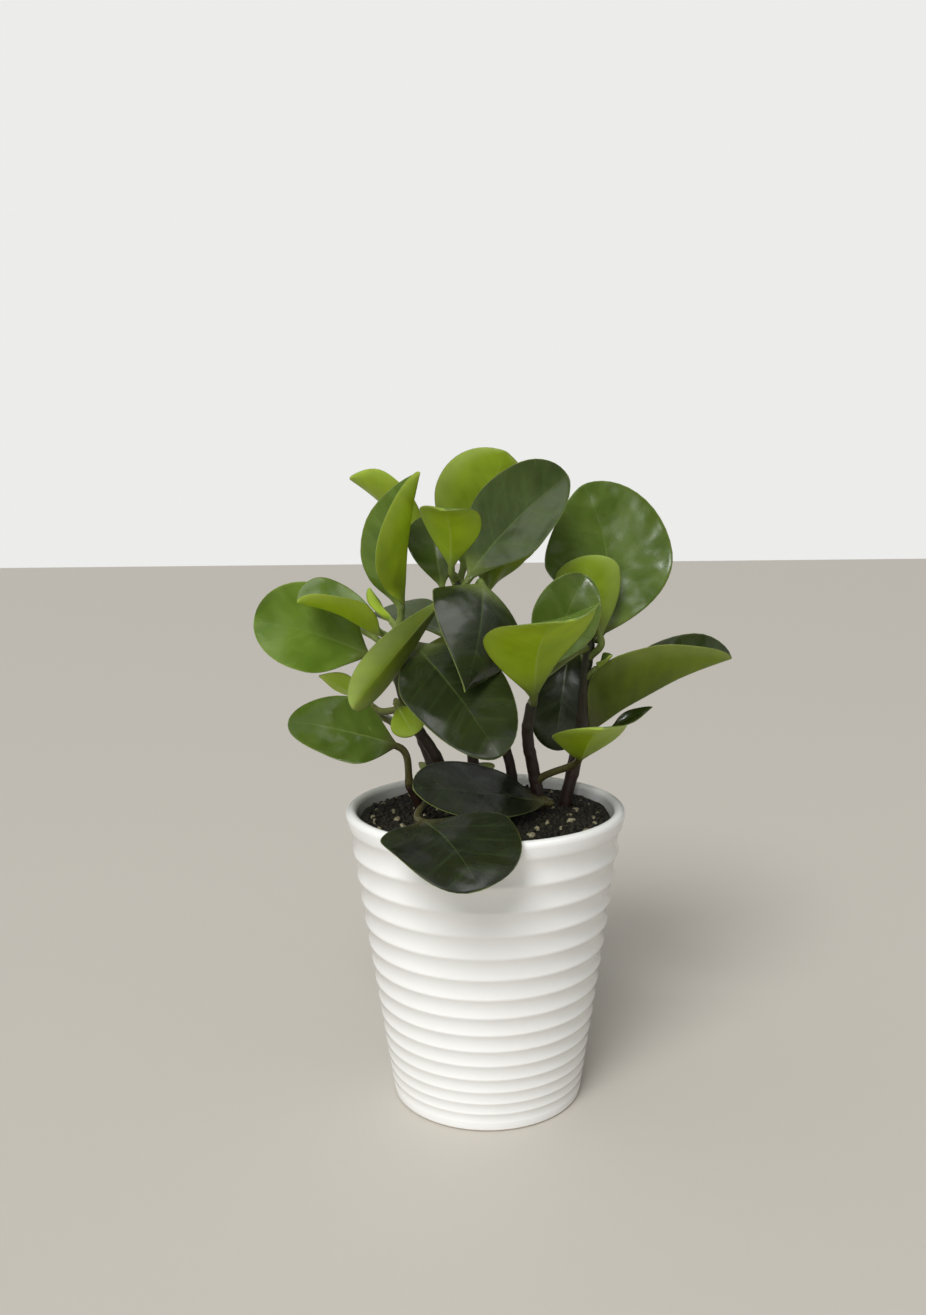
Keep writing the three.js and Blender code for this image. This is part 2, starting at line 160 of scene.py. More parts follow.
floor_mesh = bpy.data.meshes.new("floor")
corners = [(x * FLOOR_REACH, y * FLOOR_REACH, 0) for x, y in ((-1, -1), (1, -1), (1, 1), (-1, 1))]
floor_mesh.from_pydata(corners, [], [(0, 1, 2, 3)])
floor_mesh.materials.append(floor_material)
floor = bpy.data.objects.new("floor", floor_mesh)
bpy.context.scene.collection.objects.link(floor)
floor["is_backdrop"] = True

# The window's light is a sun behind thin cloud and a broad, low lamp in front: they light the plant
# and aren't mirrored. The panes light nothing: they are only what the leaves and the glaze mirror.
# A row is a lamp's kind, its place, its settings and the rays that don't see it: the glossy ones,
# which mirror things, or the diffuse ones, which light them.
MIDDLE = Vector((0, 0, 0.16))
LAMPS = {
    "key": ("SUN", (-0.36, -0.88, 1.15), {"angle": math.radians(28), "energy": 2.2}, "glossy"),
    "front": ("AREA", (-0.25, -1.3, 0.45), {"size": 0.9, "energy": 3}, "glossy"),
    "upper pane": ("AREA", (0.66, -0.66, 1.2), {"size": 0.12, "energy": 1}, "diffuse"),
    "middle pane": ("AREA", (-0.1, -1.26, 0.47), {"size": 0.16, "energy": 1.9}, "diffuse"),
    "wide pane": ("AREA", (0.64, -0.66, 1.05), {"size": 0.6, "energy": 0.6}, "diffuse"),
    "left pane": ("AREA", (-0.96, 0.08, 1.03), {"size": 0.5, "energy": 0.7}, "diffuse"),
    "high pane": ("AREA", (0.59, 0, 1.32), {"size": 0.6, "energy": 2.6}, "diffuse"),
}
for name, (kind, place, settings, left_out) in LAMPS.items():
    light = bpy.data.lights.new(name, kind)
    for title, value in settings.items():
        setattr(light, title, value)
    lamp = bpy.data.objects.new(name, light)
    lamp.location = place
    lamp.rotation_euler = (MIDDLE - Vector(place)).to_track_quat("-Z", "Y").to_euler()
    setattr(lamp, "visible_" + left_out, False)
    bpy.context.scene.collection.objects.link(lamp)

# The room round it: bright walls to the left, dimmer ones to the right and a bright ceiling, and
# plain and pale where the camera sees it. The fades are shares of the direction's x and z.
ROOM_COLOUR = "#f5f5f3"
ROOM_LEFT = 0.26
ROOM_RIGHT = 0.03
WALLS_FADE = (-0.8, 0.6)
CEILING = 0.52
CEILING_FADE = (0.2, 0.9)
ROOM_SEEN = 0.92
world = bpy.data.worlds.new("studio")
bpy.context.scene.world = world
world.use_nodes = True
tree = world.node_tree
towards = add_node(tree, "TexCoord").outputs["Generated"]
direction = add_node(tree, "SeparateXYZ", {0: towards})
room = add_node(tree, "MapRange", {
    0: direction.outputs[0], 1: WALLS_FADE[0], 2: WALLS_FADE[1], 3: ROOM_LEFT, 4: ROOM_RIGHT,
}, interpolation_type="SMOOTHSTEP")
ceiling = add_node(tree, "MapRange", {
    0: direction.outputs[2], 1: CEILING_FADE[0], 2: CEILING_FADE[1], 4: CEILING,
})
room = add_node(tree, "Math", {0: room, 1: ceiling}, operation="ADD")
seen = add_node(tree, "LightPath").outputs["Is Camera Ray"]
strength = add_node(tree, "Mix", {0: seen, 2: room, 3: ROOM_SEEN})
connect(tree.nodes["Background"], {"Color": ROOM_COLOUR, "Strength": strength})

# The pot
# One piece of slip-cast stoneware with a thick, glossy white glaze: a tapered cup with a plain band
# and a rounded lip at the rim, and coved ribs below that get finer towards the foot. The lip,
# the inside and the foot are turned from a profile, and the ribs follow their own rule.
POT_HEIGHT = 132 * MM
RIM_RADIUS = 62.5 * MM
FOOT_RADIUS = 42.7 * MM
FOOT_ROUNDING = 1.2 * MM
WALL = 5.2 * MM
POT_FLOOR = 6 * MM
RIM_BAND = 7.3 * MM
RIM_ROUNDING = 2.6 * MM
CREST_EDGE = 0.8 * MM
INNER_CORNER = 4 * MM
COVE_COUNT = 15
FIRST_PITCH = 11.6 * MM
LAST_PITCH = 4 * MM
FIRST_COVE_DEPTH = 1.3 * MM
LAST_COVE_DEPTH = 0.35 * MM
POT_SIDES = 160
STEPS_PER_COVE = 14
FOOT_STEPS = 6
LIP_STEPS = 20
CORNER_STEPS = 8


def mix(a, b, share):
    """The value at a share of the way from a to b."""
    return a + (b - a) * share


def cone_radius(z):
    """The radius of the plain cone that the rib crests stand on."""
    return mix(FOOT_RADIUS, RIM_RADIUS, z / POT_HEIGHT)


def crest_height(rib):
    """The height of a rib's crest, counted from the top. The pitch shrinks evenly, rib by rib."""
    shrink = (FIRST_PITCH - LAST_PITCH) / COVE_COUNT
    return POT_HEIGHT - RIM_BAND - rib * FIRST_PITCH + shrink * rib * (rib - 1) / 2


def make_piece(name, mesh, node, material=None):
    """A finished piece in the scene: it rides on the body and stands for its solid."""
    for polygon in mesh.polygons:
        polygon.use_smooth = True
    if material:
        mesh.materials.append(material)
    piece = bpy.data.objects.new(name, mesh)
    bpy.context.scene.collection.objects.link(piece)
    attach(piece, "root")
    if node:
        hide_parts(node)
    return piece


def turned(profile, sides):
    """Rings of points round the Z axis for a profile of (radius, height), with a point at an axis."""
    rings = []
    for radius, z in profile:
        count = sides if radius > 0 else 1
        angles = [2 * math.pi * k / sides for k in range(count)]
        rings.append([Vector((radius * math.cos(a), radius * math.sin(a), z)) for a in angles])
    return rings


def skin(name, rings):
    """A mesh with faces between neighbouring rings of points. A ring of one point is a pole."""
    points = [p for ring in rings for p in ring]
    faces = []
    start = 0
    for ring, after in zip(rings, rings[1:]):
        next_start = start + len(ring)
        sides = max(len(ring), len(after))
        for k in range(sides):
            nearby = (k + 1) % sides
            corners = [start + k % len(ring), start + nearby % len(ring),
                       next_start + nearby % len(after), next_start + k % len(after)]
            faces.append(list(dict.fromkeys(corners)))
        start = next_start
    mesh = bpy.data.meshes.new(name)
    mesh.from_pydata(points, [], faces)
    return mesh


def outward(mesh, merge=0):
    """Merges doubles where asked, and turns all faces of a closed mesh outwards."""
    work = bmesh.new()
    work.from_mesh(mesh)
    if merge:
        bmesh.ops.remove_doubles(work, verts=work.verts, dist=merge)
    bmesh.ops.recalc_face_normals(work, faces=work.faces)
    work.to_mesh(mesh)
    work.free()
    return mesh


def grown(name, tree, values, mesh):
    """The plain mesh that a tree of geometry nodes makes from a mesh and the values of its inputs."""
    source = bpy.data.objects.new(name + " source", mesh)
    bpy.context.scene.collection.objects.link(source)
    modifier = source.modifiers.new("nodes", "NODES")
    modifier.node_group = tree
    for socket in tree.interface.items_tree:
        if socket.in_out == "INPUT" and socket.name in values:
            modifier[socket.identifier] = values[socket.name]
    graph = bpy.context.evaluated_depsgraph_get()
    result = bpy.data.meshes.new_from_object(source.evaluated_get(graph), depsgraph=graph)
    result.name = name
    source.modifiers.remove(modifier)
    bpy.data.objects.remove(source)
    return result


def new_tree(name, inputs):
    """A tree of geometry nodes, and what it is given: a mesh, the named inputs and a material."""
    tree = bpy.data.node_groups.new(name, "GeometryNodeTree")
    tree.interface.new_socket("Geometry", in_out="OUTPUT", socket_type="NodeSocketGeometry")
    for title, kind in {"Geometry": "Geometry", **inputs, "Material": "Material"}.items():
        tree.interface.new_socket(title, in_out="INPUT", socket_type="NodeSocket" + kind)
    return tree, add_node(tree, "NodeGroupInput").outputs


def end_tree(tree, shape, material):
    """The end of a tree of geometry nodes: real faces, in their material."""
    real = add_node(tree, "GeometryNodeRealizeInstances", {0: shape})
    finished = add_node(tree, "GeometryNodeSetMaterial", {"Geometry": real, "Material": material})
    add_node(tree, "NodeGroupOutput", {0: finished})


ribs, given = new_tree("Coved ribs", {
    "Coves": "Int", "Steps per cove": "Int", "Sides": "Int", "Top": "Float", "First pitch": "Float",
    "Last pitch": "Float", "First depth": "Float", "Last depth": "Float", "Height": "Float",
    "Rim radius": "Float", "Foot radius": "Float",
})
rows = add_node(ribs, "Math", {
    0: given["Coves"], 1: given["Steps per cove"], 2: 1,
}, operation="MULTIPLY_ADD")
columns = add_node(ribs, "Math", {0: given["Sides"], 1: 1}, operation="ADD")
sheet = add_node(ribs, "GeometryNodeMeshGrid", {"Vertices X": columns, "Vertices Y": rows})
place = add_node(ribs, "SeparateXYZ", {0: add_node(ribs, "GeometryNodeInputPosition")})
angle = add_node(ribs, "MapRange", {0: place.outputs[0], 1: -0.5, 2: 0.5, 4: 2 * math.pi})
rib = add_node(ribs, "MapRange", {0: place.outputs[1], 1: 0.5, 2: -0.5, 4: given["Coves"]})
# The height: the top less the pitches so far, which shrink evenly
drop = add_node(ribs, "Math", {0: given["First pitch"], 1: given["Last pitch"]}, operation="SUBTRACT")
shrink = add_node(ribs, "Math", {0: drop, 1: given["Coves"]}, operation="DIVIDE")
before = add_node(ribs, "Math", {0: rib, 1: 1.0}, operation="SUBTRACT")
pairs = add_node(ribs, "Math", {0: rib, 1: before}, operation="MULTIPLY")
pairs = add_node(ribs, "Math", {0: pairs, 1: 0.5}, operation="MULTIPLY")
even = add_node(ribs, "Math", {0: rib, 1: given["First pitch"]}, operation="MULTIPLY")
spared = add_node(ribs, "Math", {0: pairs, 1: shrink, 2: given["Top"]}, operation="MULTIPLY_ADD")
height = add_node(ribs, "Math", {0: spared, 1: even}, operation="SUBTRACT")
# The cone's radius there, less the cove: a shallow hollow between two sharp crests
cone = add_node(ribs, "MapRange", {
    0: height, 2: given["Height"], 3: given["Foot radius"], 4: given["Rim radius"],
})
part = add_node(ribs, "Math", {0: rib}, operation="FRACT")
remainder = add_node(ribs, "Math", {0: 1.0, 1: part}, operation="SUBTRACT")
arch = add_node(ribs, "Math", {0: part, 1: remainder}, operation="MULTIPLY")
hollow = add_node(ribs, "Math", {0: arch, 1: 4.0}, operation="MULTIPLY")
depth = add_node(ribs, "MapRange", {
    0: rib, 2: given["Coves"], 3: given["First depth"], 4: given["Last depth"],
})
cut = add_node(ribs, "Math", {0: hollow, 1: depth}, operation="MULTIPLY")
radius = add_node(ribs, "Math", {0: cone, 1: cut}, operation="SUBTRACT")
east = add_node(ribs, "Math", {0: angle}, operation="COSINE")
north = add_node(ribs, "Math", {0: angle}, operation="SINE")
east = add_node(ribs, "Math", {0: east, 1: radius}, operation="MULTIPLY")
north = add_node(ribs, "Math", {0: north, 1: radius}, operation="MULTIPLY")
spot = add_node(ribs, "CombineXYZ", {0: east, 1: north, 2: height})
near_crest = add_node(ribs, "MapRange", {0: hollow, 2: 0.35, 3: 1.0, 4: 0.0})
marked = add_node(ribs, "GeometryNodeStoreNamedAttribute", {
    "Geometry": sheet, "Name": "crest", "Value": near_crest,
}, domain="POINT")
bent = add_node(ribs, "GeometryNodeSetPosition", {"Geometry": marked, "Position": spot})
joined = add_node(ribs, "GeometryNodeJoinGeometry", {0: bent})
connect(joined, {0: given["Geometry"]})
closed = add_node(ribs, "GeometryNodeMergeByDistance", {"Geometry": joined, "Distance": 0.02 * MM})
end_tree(ribs, closed, given["Material"])

# Stoneware under an opaque white gloss glaze: bright and smooth, faintly clouded, warmer where it thins
# over a crest, with a faint orange-peel waviness in its gloss.
# The foot it stands on is wiped bare.
glaze, tree, shader = new_material("white gloss glaze on stoneware")
where = add_node(tree, "TexCoord").outputs["Object"]
cloud = add_node(tree, "TexNoise", {"Vector": where, "Scale": 1 / (35 * MM), "Detail": 3.0})
body = add_node(tree, "Mix", {0: cloud, 6: "#f6f6f5", 7: "#f0f0ee"}, data_type="RGBA")
crest = add_node(tree, "Attribute", attribute_name="crest").outputs["Fac"]
thin = add_node(tree, "MapRange", {0: crest, 1: 0.4, 4: 0.35})
tint = add_node(tree, "Mix", {0: thin, 6: body, 7: "#efece6"}, data_type="RGBA")
up = add_node(tree, "SeparateXYZ", {0: where}).outputs[2]
wiped = add_node(tree, "MapRange", {0: up, 1: 0.9 * MM, 2: 0.5 * MM}, interpolation_type="SMOOTHSTEP")
base = add_node(tree, "Mix", {0: wiped, 6: tint, 7: "#cfc4b3"}, data_type="RGBA")
sheen = add_node(tree, "MapRange", {0: cloud, 1: 0.3, 2: 0.7, 3: 0.06, 4: 0.13})
rough = add_node(tree, "Math", {0: sheen, 1: wiped}, operation="MAXIMUM")
peel = add_node(tree, "TexNoise", {"Vector": where, "Scale": 1 / (4 * MM), "Detail": 1.0})
bump = add_node(tree, "Bump", {"Height": peel, "Strength": 0.12, "Distance": 0.4 * MM})
connect(shader, {"Base Color": base, "Roughness": rough, "Normal": bump, "IOR": 1.52})

# The foot, from its middle out and up to the lowest crest
foot_profile = [(0, 0), (FOOT_RADIUS / 2, 0)]
for step in range(FOOT_STEPS + 1):
    turn = math.pi / 2 * step / FOOT_STEPS
    inset = FOOT_ROUNDING * (1 - math.sin(turn))
    foot_profile.append((cone_radius(FOOT_ROUNDING) - inset, FOOT_ROUNDING * (1 - math.cos(turn))))
lowest_crest = crest_height(COVE_COUNT)
foot_profile.append((cone_radius(lowest_crest), lowest_crest))

# The lip, from the top crest over the rim, and down inside to the middle of the pot's floor
top_crest = crest_height(0)
lip_profile = [(cone_radius(z), z) for z in (top_crest, top_crest + CREST_EDGE)]
for step in range(LIP_STEPS + 1):
    turn = math.pi * step / LIP_STEPS
    z = POT_HEIGHT - RIM_ROUNDING * (1 - math.sin(turn))
    lip_profile.append((RIM_RADIUS - WALL / 2 + WALL / 2 * math.cos(turn), z))
for step in range(CORNER_STEPS + 1):
    turn = math.pi / 2 * step / CORNER_STEPS
    inner = cone_radius(POT_FLOOR + INNER_CORNER) - WALL - INNER_CORNER * (1 - math.cos(turn))
    lip_profile.append((inner, POT_FLOOR + INNER_CORNER * (1 - math.sin(turn))))
lip_profile.append((0, POT_FLOOR))

body_mesh = bpy.data.meshes.new("foot and lip")
work = bmesh.new()
for title, profile in {"foot": foot_profile, "lip": lip_profile}.items():
    work.from_mesh(skin(title, turned(profile, POT_SIDES)))
work.to_mesh(body_mesh)
work.free()
pot_mesh = grown("pot", ribs, {
    "Coves": COVE_COUNT, "Steps per cove": STEPS_PER_COVE, "Sides": POT_SIDES, "Top": top_crest,
    "First pitch": FIRST_PITCH, "Last pitch": LAST_PITCH, "First depth": FIRST_COVE_DEPTH,
    "Last depth": LAST_COVE_DEPTH, "Height": POT_HEIGHT, "Rim radius": RIM_RADIUS,
    "Foot radius": FOOT_RADIUS, "Material": glaze,
}, body_mesh)
outward(pot_mesh)
make_piece("glazed_pot", pot_mesh, "pot")

# The soil
# Dark, damp potting soil that fills the pot to just under its lip: a plug with an uneven top, with
# crumbs of bark and peat lying on it and pale grains of perlite between them.
SOIL_SIDES = 120
SOIL_RINGS = 46
SOIL_WALL_GAP = 0.4 * MM
SOIL_SHOULDER = 5 * MM
SOIL_SPREAD = 0.2 * MM
IN_FROM_EDGE = 0.99
DEEPEST_SURFACE = 8 * MM
HOLE_COVER = 4 * MM
LUMP_SIZE = 4 * MM
LUMP_HEIGHT = 0.54 * MM
GRIT_SIZE = 1.4 * MM
GRIT_HEIGHT = 0.3 * MM
soil_low, soil_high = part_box("soil")
soil_reach = (soil_high.x - soil_low.x) / 2 + SOIL_SPREAD
soil_solid = frame["nodes"]["soil"].data
soil_faces = [face.vertices for face in soil_solid.polygons]
soil_tree = BVHTree.FromPolygons([point.co for point in soil_solid.vertices], soil_faces)


def soil_height(x, y):
    """The soil's surface: the solid's own, seen from above and closed over its holes for the stems,
    with lumps and finer grit."""
    hit = soil_tree.ray_cast(Vector((x, y, soil_high.z + 10 * MM)), Vector((0, 0, -1)))[0]
    in_hole = not hit or hit.z <= soil_high.z - DEEPEST_SURFACE
    level = soil_high.z - HOLE_COVER if in_hole else hit.z
    lumps = noise.noise(Vector((x, y, 0)) / LUMP_SIZE)
    grit = noise.noise(Vector((x, y, 3)) / GRIT_SIZE)
    return level + lumps * LUMP_HEIGHT + grit * GRIT_HEIGHT


damp_soil, tree, shader = new_material("damp peat soil")
where = add_node(tree, "TexCoord").outputs["Object"]
patch = add_node(tree, "TexNoise", {"Vector": where, "Scale": 1 / (11 * MM), "Detail": 4.0})
fleck = add_node(tree, "TexNoise", {"Vector": where, "Scale": 1 / (1.1 * MM), "Detail": 2.0})
dark = add_node(tree, "Mix", {0: patch, 6: "#0f0d0a", 7: "#29241b"}, data_type="RGBA")
spark = add_node(tree, "MapRange", {0: fleck, 1: 0.62, 2: 0.72, 4: 0.5})
mixed = add_node(tree, "Mix", {0: spark, 6: dark, 7: "#5c5539"}, data_type="RGBA")
bump = add_node(tree, "Bump", {"Height": fleck, "Strength": 0.8, "Distance": 1 * MM})
connect(shader, {"Base Color": mixed, "Roughness": 0.85, "Normal": bump})

soil_profile = [(0, soil_low.z)]
for z in (soil_low.z, mix(soil_low.z, soil_high.z, 0.5), soil_high.z - SOIL_SHOULDER):
    soil_profile.append((cone_radius(z) - WALL - SOIL_WALL_GAP, z))
top_rings = []
for ring in range(SOIL_RINGS):
    radius = soil_reach * (1 - ring / SOIL_RINGS)
    points = []
    for k in range(SOIL_SIDES):
        turn = 2 * math.pi * k / SOIL_SIDES
        x, y = radius * math.cos(turn), radius * math.sin(turn)
        points.append(Vector((x, y, soil_height(x * IN_FROM_EDGE, y * IN_FROM_EDGE))))
    top_rings.append(points)
top_rings.append([Vector((0, 0, soil_height(0, 0)))])
soil_mesh = skin("soil", turned(soil_profile, SOIL_SIDES) + top_rings)
make_piece("soil_plug", outward(soil_mesh), "soil", damp_soil)

# Loose grains, as thick as their spacing lets them lie, each with a turn and proportions of its own
MOST_GRAINS = 4000000.0
LEAST_PROPORTIONS = (0.35, 0.3, 0.3)
MOST_PROPORTIONS = (1.4, 1.1, 0.9)
ANY_TURN = (6.3, 6.3, 6.3)
grains, given = new_tree("Loose grains", {
    "Size": "Float", "Spacing": "Float", "Sunk": "Float", "Detail": "Int", "Seed": "Int",
})
spread = add_node(grains, "GeometryNodeDistributePointsOnFaces", {
    "Mesh": given["Geometry"], "Distance Min": given["Spacing"], "Density Max": MOST_GRAINS,
    "Seed": given["Seed"],
}, distribute_method="POISSON")
stone = add_node(grains, "GeometryNodeMeshIcoSphere", {
    "Radius": given["Size"], "Subdivisions": given["Detail"],
})
size = add_node(grains, "FunctionNodeRandomValue", {
    "Min": LEAST_PROPORTIONS, "Max": MOST_PROPORTIONS, "Seed": given["Seed"],
}, data_type="FLOAT_VECTOR")
turn = add_node(grains, "FunctionNodeRandomValue", {
    "Max": ANY_TURN, "Seed": given["Seed"],
}, data_type="FLOAT_VECTOR")
placed = add_node(grains, "GeometryNodeInstanceOnPoints", {
    "Points": spread, "Instance": stone, "Rotation": turn, "Scale": size,
})
down = add_node(grains, "CombineXYZ", {2: given["Sunk"]})
sunk = add_node(grains, "GeometryNodeTranslateInstances", {
    "Instances": placed, "Translation": down, "Local Space": False,
})
real = add_node(grains, "GeometryNodeRealizeInstances", {0: sunk})
lump = add_node(grains, "TexNoise", {"Scale": 1 / (1.1 * MM), "Detail": 1.0})
push = add_node(grains, "VectorMath", {
    0: lump.outputs["Color"], 1: (0.5, 0.5, 0.5),
}, operation="SUBTRACT")
push = add_node(grains, "VectorMath", {0: push, "Scale": given["Size"]}, operation="SCALE")
rough_stone = add_node(grains, "GeometryNodeSetPosition", {"Geometry": real, "Offset": push})
end_tree(grains, rough_stone, given["Material"])

# Bits of bark and peat, from near black to brown, dull
crumb, tree, shader = new_material("bark and peat crumbs")
where = add_node(tree, "TexCoord").outputs["Object"]
patch = add_node(tree, "TexNoise", {"Vector": where, "Scale": 1 / (2.4 * MM), "Detail": 2.0})
shift = add_node(tree, "MapRange", {0: patch, 1: 0.35, 2: 0.7})
dark = add_node(tree, "Mix", {0: shift, 6: "#100f0c", 7: "#322d22"}, data_type="RGBA")
connect(shader, {"Base Color": dark, "Roughness": 0.8})

# Expanded volcanic glass: chalky, off-white grains with soil in their pores
perlite, tree, shader = new_material("perlite grains")
where = add_node(tree, "TexCoord").outputs["Object"]
pore = add_node(tree, "TexNoise", {"Vector": where, "Scale": 1 / (0.7 * MM), "Detail": 2.0})
shift = add_node(tree, "MapRange", {0: pore, 1: 0.35, 2: 0.6})
pale = add_node(tree, "Mix", {0: shift, 6: "#57523c", 7: "#a19a7e"}, data_type="RGBA")
bump = add_node(tree, "Bump", {"Height": pore, "Strength": 0.6, "Distance": 0.4 * MM})
connect(shader, {"Base Color": pale, "Roughness": 0.9, "Normal": bump})

# Both lie on the part of the soil's surface that is within a reach of the pot's middle
GRAINS = {
    "soil_crumbs": (53.5 * MM, {
        "Size": 1.6 * MM, "Spacing": 2.6 * MM, "Sunk": -0.2 * MM, "Detail": 2, "Seed": 4,
        "Material": crumb,
    }),
    "perlite": (52 * MM, {
        "Size": 1.7 * MM, "Spacing": 10 * MM, "Sunk": -0.1 * MM, "Detail": 3, "Seed": 9,
        "Material": perlite,
    }),
}
for name, (reach, values) in GRAINS.items():
    bed = skin(name + " bed", [ring for ring in top_rings if ring[0].xy.length < reach])
    make_piece(name, grown(name, grains, values, bed), None)

# The stems
# Juicy, smooth stems that stand in the soil, reddish brown low down and olive green above, slightly
# thicker at each place where a leaf has grown. Each follows its own line from the soil to its top.

# Each stem, in mm: the points that it passes from the soil up, and its radius at foot and top
STEMS = {
    "left": ([(-15, 4, 128), (-21, 0, 152), (-31, -4, 170), (-37, -6, 188), (-38, -5, 212)], (2.9, 2.2)),
    "middle": ([(14, 9, 128), (10, 8, 154), (0, 10, 174), (-7, 10, 200), (-12, 6, 233)], (2.5, 2.1)),
    "fork": ([(25, 2, 128), (22, 2, 146), (19, -2, 164), (21, -6, 180)], (3, 2.5)),
    "right": ([(37, 12, 128), (42, 12, 149), (45, 10, 171), (46, 8, 191), (48, 6, 206)], (3.1, 2.3)),
    "low": ([(-29, -2, 128), (-31, -4, 136), (-34, -7, 144)], (2.3, 2)),
    "back": ([(-4, 30, 128), (-6, 34, 158), (-8, 36, 186), (-6, 36, 214)], (3, 2.2)),
    "back_left": ([(-20, 26, 128), (-27, 29, 150), (-35, 32, 172), (-39, 34, 194)], (2.8, 2.1)),
    "back_right": ([(40, 30, 128), (44, 33, 150), (48, 36, 172), (50, 38, 198)], (2.8, 2.1)),
}
STEM_FOOT = 104 * MM
STEM_SIDES = 24
STEM_STEPS = 90
CURVE_STEPS = 40
JOINT_SPACING = 13 * MM
JOINT_SWELLING = 0.09
KNOT_SIZE = 6 * MM
KNOT_HEIGHT = 0.7 * MM


def curve_through(points, steps):
    """Points spaced evenly on a smooth curve through the given ones, with its length."""
    ends = [2 * points[0] - points[1], *points, 2 * points[-1] - points[-2]]
    fine = []
    for before, start, end, after in zip(ends, ends[1:], ends[2:], ends[3:]):
        gaps = [math.sqrt((b - a).length) for a, b in ((before, start), (start, end), (end, after))]
        leave = (start - before) / gaps[0] - (end - before) / (gaps[0] + gaps[1]) + (end - start) / gaps[1]
        arrive = (end - start) / gaps[1] - (after - start) / (gaps[1] + gaps[2]) + (after - end) / gaps[2]
        for step in range(CURVE_STEPS):
            t = step / CURVE_STEPS
            fine.append(start * (2 * t**3 - 3 * t**2 + 1) + end * (3 * t**2 - 2 * t**3)
                        + leave * gaps[1] * (t**3 - 2 * t**2 + t) + arrive * gaps[1] * (t**3 - t**2))
    fine.append(points[-1])
    run = [0]
    for a, b in zip(fine, fine[1:]):
        run.append(run[-1] + (b - a).length)
    spaced = []
    place = 0
    for step in range(steps + 1):
        target = run[-1] * step / steps
        while place < len(run) - 2 and run[place + 1] < target:
            place += 1
        share = (target - run[place]) / (run[place + 1] - run[place])
        spaced.append(fine[place].lerp(fine[place + 1], share))
    return spaced, run[-1]


stems, given = new_tree("Jointed stem", {
    "Foot radius": "Float", "Top radius": "Float", "Joint spacing": "Float",
    "Joint swelling": "Float", "Sides": "Int",
})
line = add_node(stems, "GeometryNodeMeshToCurve", {"Mesh": given["Geometry"]})
along = add_node(stems, "GeometryNodeSplineParameter")
taper = add_node(stems, "MapRange", {
    0: along.outputs["Factor"], 3: given["Foot radius"], 4: given["Top radius"],
})
count = add_node(stems, "Math", {
    0: along.outputs["Length"], 1: given["Joint spacing"],
}, operation="DIVIDE")
nearest = add_node(stems, "Math", {0: count, 1: 0.5}, operation="PINGPONG")
joint = add_node(stems, "MapRange", {
    0: nearest, 1: 0.16, 2: 0.0, 4: given["Joint swelling"],
}, interpolation_type="SMOOTHSTEP")
swell = add_node(stems, "Math", {0: joint, 1: 1.0}, operation="ADD")
closing = add_node(stems, "MapRange", {
    0: along.outputs["Factor"], 1: 0.965, 3: 1.0, 4: 0.45,
}, interpolation_type="SMOOTHSTEP")
width = add_node(stems, "Math", {0: taper, 1: swell}, operation="MULTIPLY")
width = add_node(stems, "Math", {0: width, 1: closing}, operation="MULTIPLY")
loop = add_node(stems, "GeometryNodeCurvePrimitiveCircle", {
    "Resolution": given["Sides"], "Radius": 1.0,
})
tube = add_node(stems, "GeometryNodeCurveToMesh", {
    "Curve": line, "Profile Curve": loop, "Scale": width, "Fill Caps": True,
})
knots = add_node(stems, "TexNoise", {"Scale": 1 / KNOT_SIZE, "Detail": 2.0})
push = add_node(stems, "VectorMath", {
    0: knots.outputs["Color"], 1: (0.5, 0.5, 0.5),
}, operation="SUBTRACT")
push = add_node(stems, "VectorMath", {0: push, "Scale": KNOT_HEIGHT}, operation="SCALE")
uneven = add_node(stems, "GeometryNodeSetPosition", {"Geometry": tube, "Offset": push})
end_tree(stems, uneven, given["Material"])

# A fleshy stem's skin: satin, streaked along its length, with small pale pores
stem_skin, tree, shader = new_material("fleshy stem skin")
where = add_node(tree, "TexCoord").outputs["Object"]
up = add_node(tree, "SeparateXYZ", {0: where}).outputs[2]
rise = add_node(tree, "MapRange", {0: up, 1: 135 * MM, 2: 225 * MM}, interpolation_type="SMOOTHSTEP")
drawn = add_node(tree, "Mapping", {"Vector": where, "Scale": (1.0, 1.0, 0.12)})
streak = add_node(tree, "TexNoise", {"Vector": drawn, "Scale": 1 / (1.1 * MM), "Detail": 3.0})
low = add_node(tree, "Mix", {0: streak, 6: "#0f0a08", 7: "#3a251c"}, data_type="RGBA")
high = add_node(tree, "Mix", {0: streak, 6: "#171a10", 7: "#3f4425"}, data_type="RGBA")
body = add_node(tree, "Mix", {0: rise, 6: low, 7: high}, data_type="RGBA")
pore = add_node(tree, "TexVoronoi", {"Vector": where, "Scale": 1 / (1.6 * MM)})
dot = add_node(tree, "MapRange", {0: pore.outputs["Distance"], 1: 0.16, 2: 0.1, 4: 0.4})
speckled = add_node(tree, "Mix", {0: dot, 6: body, 7: "#7d6a50"}, data_type="RGBA")
bump = add_node(tree, "Bump", {"Height": streak, "Strength": 0.35, "Distance": 0.4 * MM})
connect(shader, {"Base Color": speckled, "Roughness": 0.55, "Normal": bump})

stem_lines = {}
for name, (path, radii) in STEMS.items():
    path = [Vector(p) * MM for p in path]
    foot = Vector((path[0].x, path[0].y, STEM_FOOT))
    stem_lines[name] = curve_through([foot, *path], STEM_STEPS)
    points = stem_lines[name][0]
    line_mesh = bpy.data.meshes.new(name)
    line_mesh.from_pydata(points, [(k, k + 1) for k in range(len(points) - 1)], [])
    stem_mesh = grown("stem " + name, stems, {
        "Foot radius": radii[0] * MM, "Top radius": radii[1] * MM, "Joint spacing": JOINT_SPACING,
        "Joint swelling": JOINT_SWELLING, "Sides": STEM_SIDES, "Material": stem_skin,
    }, line_mesh)
    make_piece("fleshy_stem_" + name, outward(stem_mesh, merge=0.01 * MM), "stem_" + name)
